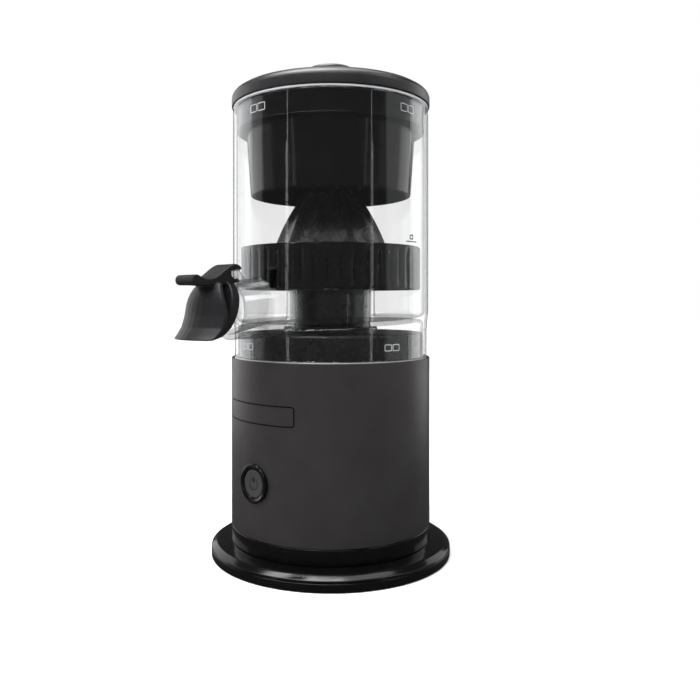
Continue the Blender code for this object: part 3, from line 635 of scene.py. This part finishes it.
def strainer_profile():
    """Section of the basket as (radius, height), and the rows above which the outer and inner slots lie."""
    r = strainer_high.x
    high = strainer_high.z
    wall_in = r - 2.0 * MM
    skirt = 149.8 * MM
    underside = 151.3 * MM
    floor = 153.3 * MM
    ridge = 161.0 * MM
    slot_low = floor + 1.0 * MM
    slot_high = high - 4.0 * MM
    soft = 0.5 * MM
    profile = [(r - soft, skirt), (r, skirt + soft), (r, slot_low), (r, slot_high), (r, high - 1.6 * MM),
               (r, high - soft), (r - soft, high), (wall_in + soft, high), (wall_in, high - soft),
               (wall_in, slot_high), (wall_in, slot_low), (wall_in, floor + soft), (wall_in - soft, floor),
               (29.5 * MM, floor), (29.5 * MM, ridge), (27.5 * MM, ridge), (24 * MM, floor),
               (24 * MM, 150.5 * MM), (30 * MM, 150.5 * MM), (30 * MM, underside), (wall_in, underside),
               (wall_in, skirt)]
    outer_row, inner_row = 2, 9
    return profile, outer_row, inner_row


def strainer(mats):
    """Basket of rounded upright bars with slots between them and a toothed lower edge."""
    slots = 45
    bar_facets = 5
    profile, outer_row, inner_row = strainer_profile()
    slot_angle = 1.6 * MM / strainer_high.x
    pitch = 2 * math.pi / slots
    bar_angle = pitch - slot_angle
    spots = []
    for i in range(slots):
        start = i * pitch + slot_angle
        spots += [(start + bar_angle * k / bar_facets, math.sin(math.pi * k / bar_facets))
                  for k in range(bar_facets + 1)]
    bm = bmesh.new()
    rings = []
    for k, (radius, z) in enumerate(profile):
        depth = 0.45 * MM if k <= outer_row + 1 else 0.0
        ring = []
        for angle, crown in spots:
            reach = radius - depth * (1.0 - crown ** 0.3)
            tooth = 0.7 * MM * (1.0 - crown ** 0.4) if k <= 1 else 0.0
            ring.append(bm.verts.new((reach * math.cos(angle), reach * math.sin(angle), z + tooth)))
        rings.append(ring)
    for i in range(len(spots)):
        j = (i + 1) % len(spots)
        slotted = i % (bar_facets + 1) == bar_facets
        for k, ring in enumerate(rings):
            if slotted and k in (outer_row, inner_row):
                continue
            other = rings[(k + 1) % len(rings)]
            bm.faces.new([ring[i], ring[j], other[j], other[i]])
        if slotted:
            outer_low, outer_high = rings[outer_row], rings[outer_row + 1]
            inner_high, inner_low = rings[inner_row], rings[inner_row + 1]
            bm.faces.new([outer_low[i], outer_low[j], inner_low[j], inner_low[i]])
            bm.faces.new([outer_high[i], outer_high[j], inner_high[j], inner_high[i]])
            bm.faces.new([outer_low[i], outer_high[i], inner_high[i], inner_low[i]])
            bm.faces.new([outer_low[j], outer_high[j], inner_high[j], inner_low[j]])
    piece("strainer_shell", bm, mats["gloss_black"], "tub", ["strainer_basket"], sharp=40.0)


def reamer(mats):
    """Dome with sharp-crested ribs that run out at the skirt and the tip; softer in sheen than its slot."""
    ribs = 12
    rib_depth = 2.2 * MM
    skirt_r = reamer_high.x
    foot = 164.0 * MM
    shoulder = foot + 8.0 * MM
    tip = reamer_high.z
    outer = [(skirt_r - 0.6 * MM, foot), (skirt_r, foot + 0.6 * MM), (skirt_r, shoulder - 0.6 * MM)]
    rows = 40
    for i in range(rows):
        rise = math.sin(math.radians(90.0 * i / rows))
        radius = skirt_r * (1.0 - rise ** 1.15) ** 0.62 - 0.15 * MM
        outer.append((radius, shoulder + (tip - shoulder) * rise))
    inner = [(0.0, 169.5), (4.7, 169.5), (4.7, 151.0), (8.5, 151.0), (8.5, 200.0), (14.0, 196.0),
             (22.5, 186.0), (27.5, 175.0), (30.2, 164.0)]
    profile = outer + [(0.0, tip)] + [(radius * MM, height * MM) for radius, height in inner]
    ribbed = set(outer[4:])

    def rib(angle, radius, height):
        if (radius, height) not in ribbed:
            return 1.0
        wave = abs(math.sin(ribs * angle / 2))
        depth = min(rib_depth, radius * 0.14) * min(1.0, (height - shoulder) / (4 * MM))
        return 1.0 + (0.5 - wave) * depth / radius

    piece("reamer_dome", turned(profile, ribs * 16, rib), mats["satin_black"], "reamer", ["reamer_cone"],
          sharp=50.0)


# ------------------------------------------------------------------ lid

def cover_dome(mats):
    """Lid cover: a low dome with a round knob in its middle."""
    r = BODY_R / MM
    low = cover_low.z / MM
    top = cover_high.z / MM
    inner_r = 54.6
    corners = [(r, low, 0.5), (r, 260.6, 4.2), (52.6, 263.3, 5.5), (38.0, 266.8, 12.0), (17.0, 268.4, 2.6),
               (14.4, 269.4, 1.6), (13.6, top - 0.2, 2.2), (8.0, top, 1.0), (0.0, top, 0), (0.0, 265.8, 0),
               (30.0, 265.0, 0), (44.5, 263.0, 0), (50.3, 261.0, 0), (inner_r, 257.2, 0), (inner_r, low, 0.3)]
    piece("cover_dome", turned(filleted(corners, 10)), mats["lid"], "lid", ["lid_cover"])


def collar_ring(mats):
    """Glossy collar under the cover, with a lip round its lower edge."""
    r = collar_high.x / MM
    foot = collar_low.z / MM
    top = collar_high.z / MM
    inner_r = 48.9
    band = r - 0.5
    corners = [(r, foot, 0.3), (r, foot + 0.7, 0.3), (band, foot + 0.9, 0.1), (band, top - 0.5, 0),
               (r, top, 0.2), (r - 2.0, top, 0.3), (r - 2.0, foot + 2.2, 0), (inner_r, foot + 2.2, 0),
               (inner_r, foot, 0.3)]
    piece("collar_ring", turned(filleted(corners)), mats["gloss_black"], "lid", ["lid_collar"])


def cup_bell(mats):
    """Press cup that comes down over the fruit, with a round hollow."""
    low = cup_low.z / MM
    top = cup_high.z / MM
    foot = collar_low.z / MM
    mouth_r, neck_r, rim_r = 46.0, 48.6, cup_high.x / MM
    under_rim = top - 2.0
    roof = 239.8
    corners = [(mouth_r, low, 0.7), (neck_r, foot, 0), (neck_r, under_rim, 0.2), (rim_r, under_rim, 0.3),
               (rim_r, top, 0.3), (44.0, top, 0.5), (40.0, roof, 0.5), (0.0, roof, 0)]
    profile = filleted(corners)
    inner_r = mouth_r * MM - CUP_WALL
    hollow_z = 212.0 * MM
    hollow_rise = 24.5 * MM
    steps = 24
    profile.append((0.0, hollow_z + hollow_rise))
    for i in range(1, steps + 1):
        angle = math.radians(90.0 * (steps - i) / steps)
        profile.append((inner_r * math.cos(angle), hollow_z + hollow_rise * math.sin(angle)))
    profile += [(inner_r, cup_low.z + 0.6 * MM), (inner_r + 0.5 * MM, cup_low.z)]
    piece("cup_bell", turned(profile), mats["gloss_black"], "lid", ["press_cup"])


def gasket_rings(mats):
    """The two silicone rings, with rounded edges; the rim's is drawn a little less tall than the part's."""
    for name, node, body, wall, raised in (("rim_ring", "rim_gasket", "lid_ring", 1.8, 0.3),
                                           ("foot_ring", "foot_gasket", "tub_ring", 1.9, 0.0)):
        low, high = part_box(node)
        r = high.x / MM
        foot = low.z / MM + raised
        top = high.z / MM
        corners = [(r - wall, foot, 0.2), (r, foot, 0.3), (r, top, 0.3), (r - wall, top, 0.2)]
        piece(name, turned(filleted(corners)), mats["silicone"], body, [node])


# ------------------------------------------------------------------ spout cap

def cap_side_outline():
    """Side view of the hook and thumb lever, laid out in millimetres about the pin; gives (Y, Z) points."""
    outline = arc((0, 0), HOOK_R / MM, 148, 62, 14)
    outline += [(4.3, 3.3), (6.9, 1.4), (9.6, -0.6), (12.2, -2.2), (14.8, -3.0), (17.6, -3.1), (20.4, -2.1)]
    outline += arc((23.4, -3.6), 2.6, 115, -90, 14)
    outline += [(19.0, -6.1), (14.0, -6.3), (9.0, -6.5)]
    outline += arc((0, 0), HOOK_R / MM, -62, -80, 4)
    outline += arc((0, 0), PIN_R / MM + 0.4, -80, 148, 24)
    return [(-PIN_RHO - u * MM, PIN_Z + w * MM) for u, w in outline]


def jaw_outline():
    """Lower jaw of the hook, carried further round the pin on either side of the spout."""
    outline = arc((0, 0), HOOK_R / MM - 0.1, -70, -128, 10)
    outline += arc((0, 0), PIN_R / MM + 0.5, -128, -70, 10)
    return [(-PIN_RHO - u * MM, PIN_Z + w * MM) for u, w in outline]


def shield_plate():
    """Flared front shield of the cap, wider and further out towards its lower edge."""
    thickness = 2.4
    # distance out from the pin, height from it, half width
    rows = [(12.6, -5.0, 9.0), (14.7, -7.2, 10.8), (16.2, -9.6, 12.6), (17.5, -12.4, 14.2),
            (18.3, -15.2, 15.6), (19.3, -21.2, 17.2), (21.2, -27.0, 17.6), (23.9, -30.8, 17.0),
            (25.3, -32.3, 16.3), (25.9, -32.9, 15.2), (26.1, -33.1, 13.4)]
    columns = [-1.0, -0.88, -0.72, -0.5, -0.25, 0.0, 0.25, 0.5, 0.72, 0.88, 1.0]
    bm = bmesh.new()
    skins = []
    for depth in (0.0, thickness):
        grid = []
        for out, up, half in rows:
            line = []
            for share in columns:
                x = half * share
                back = x ** 2 * SHIELD_BOW + depth
                line.append(bm.verts.new((x * MM, -PIN_RHO + (back - out) * MM, PIN_Z + up * MM)))
            grid.append(line)
        skins.append(grid)
    front, back = skins
    last = len(columns) - 1
    for i in range(len(rows) - 1):
        for j in range(last):
            for skin in skins:
                bm.faces.new([skin[i][j], skin[i][j + 1], skin[i + 1][j + 1], skin[i + 1][j]])
        for j in (0, last):
            bm.faces.new([front[i][j], front[i + 1][j], back[i + 1][j], back[i][j]])
    for j in range(last):
        for i in (0, len(rows) - 1):
            bm.faces.new([front[i][j], front[i][j + 1], back[i][j + 1], back[i][j]])
    return bm


def cap_body(mats):
    """Spout cap: hook, lever, disc and shield run together with soft moulded edges."""
    disc_back = -SPOUT_MOUTH[0] - 0.3 * MM
    centre = (0.0, SPOUT_MOUTH[1])
    hinge = Vector((0.0, -PIN_RHO, PIN_Z))
    swing = Matrix.Translation(hinge) @ Matrix.Rotation(-CAP_REST, 4, "X") @ Matrix.Translation(-hinge)
    disc_r, plug_r, neck_r = 15.5 * MM, 11.8 * MM, 8.0 * MM
    layers = [(disc_r, disc_back - 5 * MM, disc_back), (plug_r, disc_back - MM, disc_back + 1.6 * MM),
              (neck_r, disc_back - 12.8 * MM, disc_back - 4 * MM)]
    steps = []
    for radius, low, high in layers:
        bm = rod("Y", centre, radius, low, high, 64)
        bmesh.ops.transform(bm, matrix=swing, verts=bm.verts)
        steps.append(("UNION", bm))
    steps.append(("UNION", shield_plate()))
    for side in (-1, 1):
        inner, outer = sorted((side * JAW_INNER, side * HOOK_HALF))
        steps.append(("UNION", prism(jaw_outline(), "X", inner, outer)))
    bm = carve(prism(cap_side_outline(), "X", -HOOK_HALF, HOOK_HALF), steps)
    cap = piece("cap_body", bm, mats["cap"], "cap", ["spout_cap"], sharp=60.0)
    remesh = cap.modifiers.new("skin", "REMESH")
    remesh.mode = "VOXEL"
    remesh.voxel_size = 0.4 * MM
    remesh.use_smooth_shade = True
    soften = cap.modifiers.new("soften", "SMOOTH")
    soften.factor = 0.5
    soften.iterations = 6


# ------------------------------------------------------------------ stage

def stage_floor():
    """Pale matt floor."""
    floor_bm = bmesh.new()
    bmesh.ops.create_grid(floor_bm, x_segments=1, y_segments=1, size=6.0)
    mesh = bpy.data.meshes.new("floor")
    floor_bm.to_mesh(mesh)
    floor_bm.free()
    floor = bpy.data.objects.new("floor", mesh)
    floor.location.z = -0.2 * MM
    bpy.context.scene.collection.objects.link(floor)
    mat, tree, shader = node_material("floor")
    tone = object_noise(tree, 3.0)
    tree.links.new(shaded(tree, tone, (0.86, 0.86, 0.86), (0.90, 0.90, 0.90)), shader.inputs["Base Color"])
    shader.inputs["Roughness"].default_value = 0.6
    shader.inputs["Specular IOR Level"].default_value = 0.0
    mesh.materials.append(mat)
    floor.visible_glossy = False


def stage_world():
    """White where the camera sees past the floor, and a dim even light for everything else."""
    world = bpy.data.worlds.new("studio")
    bpy.context.scene.world = world
    world.use_nodes = True
    tree = world.node_tree
    room = tree.nodes["Background"]
    room.inputs["Color"].default_value = (1.0, 1.0, 1.0, 1.0)
    room.inputs["Strength"].default_value = 0.07
    paper = tree.nodes.new("ShaderNodeBackground")
    paper.inputs["Color"].default_value = (1.0, 1.0, 1.0, 1.0)
    rays = tree.nodes.new("ShaderNodeLightPath")
    mix = tree.nodes.new("ShaderNodeMixShader")
    tree.links.new(rays.outputs["Is Camera Ray"], mix.inputs["Fac"])
    tree.links.new(room.outputs["Background"], mix.inputs[1])
    tree.links.new(paper.outputs["Background"], mix.inputs[2])
    tree.links.new(mix.outputs["Shader"], tree.nodes["World Output"].inputs["Surface"])


def stage_sun():
    """Broad, soft light from nearly overhead."""
    sun = bpy.data.objects.new("sun", bpy.data.lights.new("sun", "SUN"))
    sun.data.energy = 4.3
    sun.data.angle = math.radians(45.0)
    sun.rotation_euler = (math.radians(14.0), math.radians(-8.0), 0.0)
    bpy.context.scene.collection.objects.link(sun)


def stage_camera(azimuth):
    """Level camera in front of the part and to its right, with a shifted lens."""
    distance = 0.433
    camera = bpy.data.objects.new("camera", bpy.data.cameras.new("camera"))
    camera.location = (distance * math.sin(azimuth), -distance * math.cos(azimuth), 0.1433)
    camera.rotation_euler = (math.radians(90), 0.0, azimuth)
    camera.data.lens = 38.3
    camera.data.sensor_width = 36.0
    camera.data.shift_x = 0.0276
    camera.data.shift_y = -0.0699
    camera.data.clip_start = 0.01
    bpy.context.scene.collection.objects.link(camera)
    bpy.context.scene.camera = camera


def stage_lamps(azimuth):
    """Soft boxes round the part, set out from the camera's direction and aimed at the part's middle."""
    boxes = [
        # name, turn from the camera in degrees, distance, height, width, tallness, power, seen in gloss
        ("line_left", -50.0, 1.0, 0.20, 0.02, 0.60, 0.10, True),
        ("line_right", 47.0, 1.0, 0.20, 0.02, 0.60, 0.08, True),
        ("edge", 0.0, 1.0, 1.00, 1.20, 0.05, 1.4, True),
        ("top", 150.0, 0.15, 1.20, 0.90, 0.80, 6.0, True),
        ("shoulder", -10.0, 0.6, 1.10, 0.90, 0.60, 4.0, True),
        ("lid_left", -78.0, 1.1, 1.10, 0.50, 0.45, 1.8, True),
        ("lid_right", 68.0, 1.1, 1.10, 0.60, 0.45, 3.0, True),
        ("wall_left", -129.0, 1.1, 0.35, 1.00, 0.90, 3.6, True),
        ("fade_left", -94.0, 1.1, 0.35, 0.36, 0.90, 0.35, True),
        ("wall_right", 124.0, 1.1, 0.35, 0.70, 0.90, 2.6, True),
        ("fade_right", 85.0, 1.1, 0.35, 0.75, 0.90, 0.60, True),
        ("key", -68.0, 1.2, 0.55, 0.70, 0.50, 9.0, False),
    ]
    target = Vector((0.0, 0.0, 0.14))
    for name, turn, reach, height, width, tall, power, glints in boxes:
        data = bpy.data.lights.new(name, "AREA")
        data.shape = "RECTANGLE"
        data.size = width
        data.size_y = tall
        data.energy = power
        lamp = bpy.data.objects.new(name, data)
        lamp.visible_camera = False
        lamp.visible_glossy = glints
        angle = azimuth + math.radians(turn)
        lamp.location = (reach * math.sin(angle), -reach * math.cos(angle), height)
        aim = target - lamp.location
        lamp.rotation_euler = aim.to_track_quat("-Z", "Y").to_euler()
        bpy.context.scene.collection.objects.link(lamp)


def stage():
    """Floor, background, lights and camera."""
    azimuth = math.radians(45.0)
    stage_floor()
    stage_world()
    stage_sun()
    stage_camera(azimuth)
    stage_lamps(azimuth)
    bpy.context.scene.view_settings.view_transform = "Standard"


def build():
    """Make every piece of the looks."""
    mats, marks = make_materials()
    paint_cad_nodes(mats)
    flange_shell(mats)
    housing_pieces(mats)
    plinth_shell(mats)
    badge_frame(marks)
    button_pieces(mats, marks)
    tub_shell(mats)
    lock_marks(marks)
    fill_mark(marks)
    strainer(mats)
    reamer(mats)
    cover_dome(mats)
    collar_ring(mats)
    cup_bell(mats)
    gasket_rings(mats)
    cap_body(mats)
    stage()


build()
